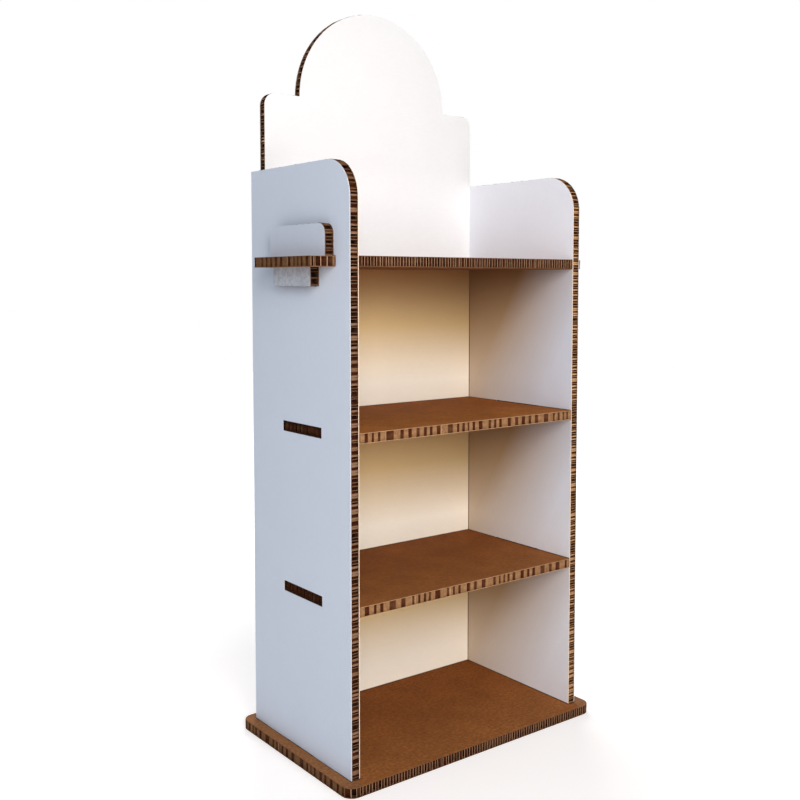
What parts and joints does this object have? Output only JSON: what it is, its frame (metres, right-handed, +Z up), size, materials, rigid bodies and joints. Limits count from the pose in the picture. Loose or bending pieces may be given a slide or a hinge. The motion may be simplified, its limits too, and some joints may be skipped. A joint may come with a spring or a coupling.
{
  "type": "cardboard display stand",
  "caption": "Floor-standing display stand of slotted honeycomb cardboard boards: base plate, side panels, shelves and an arched header.",
  "frame": {"origin": "on the floor, in the middle of the stand's overall box", "axes": "+Z up, +Y from the open front to the back panel, +X to the right seen from the front"},
  "size_m": [0.724, 0.413, 1.568],
  "materials": {
    "white_liner": "smooth white printed liner, matt",
    "kraft_liner": "bare brown kraft liner, matt",
    "honeycomb_core": "bare brown paper honeycomb, open at cut edges"
  },
  "bodies": {
    "root": {"base_bottom_liner": "kraft_liner", "base_top_liner": "kraft_liner", "base_core": "honeycomb_core", "left_side_outer_liner": "white_liner", "left_side_inner_liner": "white_liner", "left_side_core": "honeycomb_core", "right_side_inner_liner": "white_liner", "right_side_outer_liner": "white_liner", "right_side_core": "honeycomb_core", "back_rear_liner": "white_liner", "back_front_liner": "white_liner", "back_core": "honeycomb_core", "top_shelf_bottom_liner": "kraft_liner", "top_shelf_top_liner": "kraft_liner", "top_shelf_core": "honeycomb_core", "upper_shelf_bottom_liner": "kraft_liner", "upper_shelf_top_liner": "kraft_liner", "upper_shelf_core": "honeycomb_core", "lower_shelf_bottom_liner": "kraft_liner", "lower_shelf_top_liner": "kraft_liner", "lower_shelf_core": "honeycomb_core", "left_key_outer_liner": "white_liner", "left_key_inner_liner": "white_liner", "left_key_core": "honeycomb_core", "right_key_inner_liner": "white_liner", "right_key_outer_liner": "white_liner", "right_key_core": "honeycomb_core"}
  },
  "joints": []
}
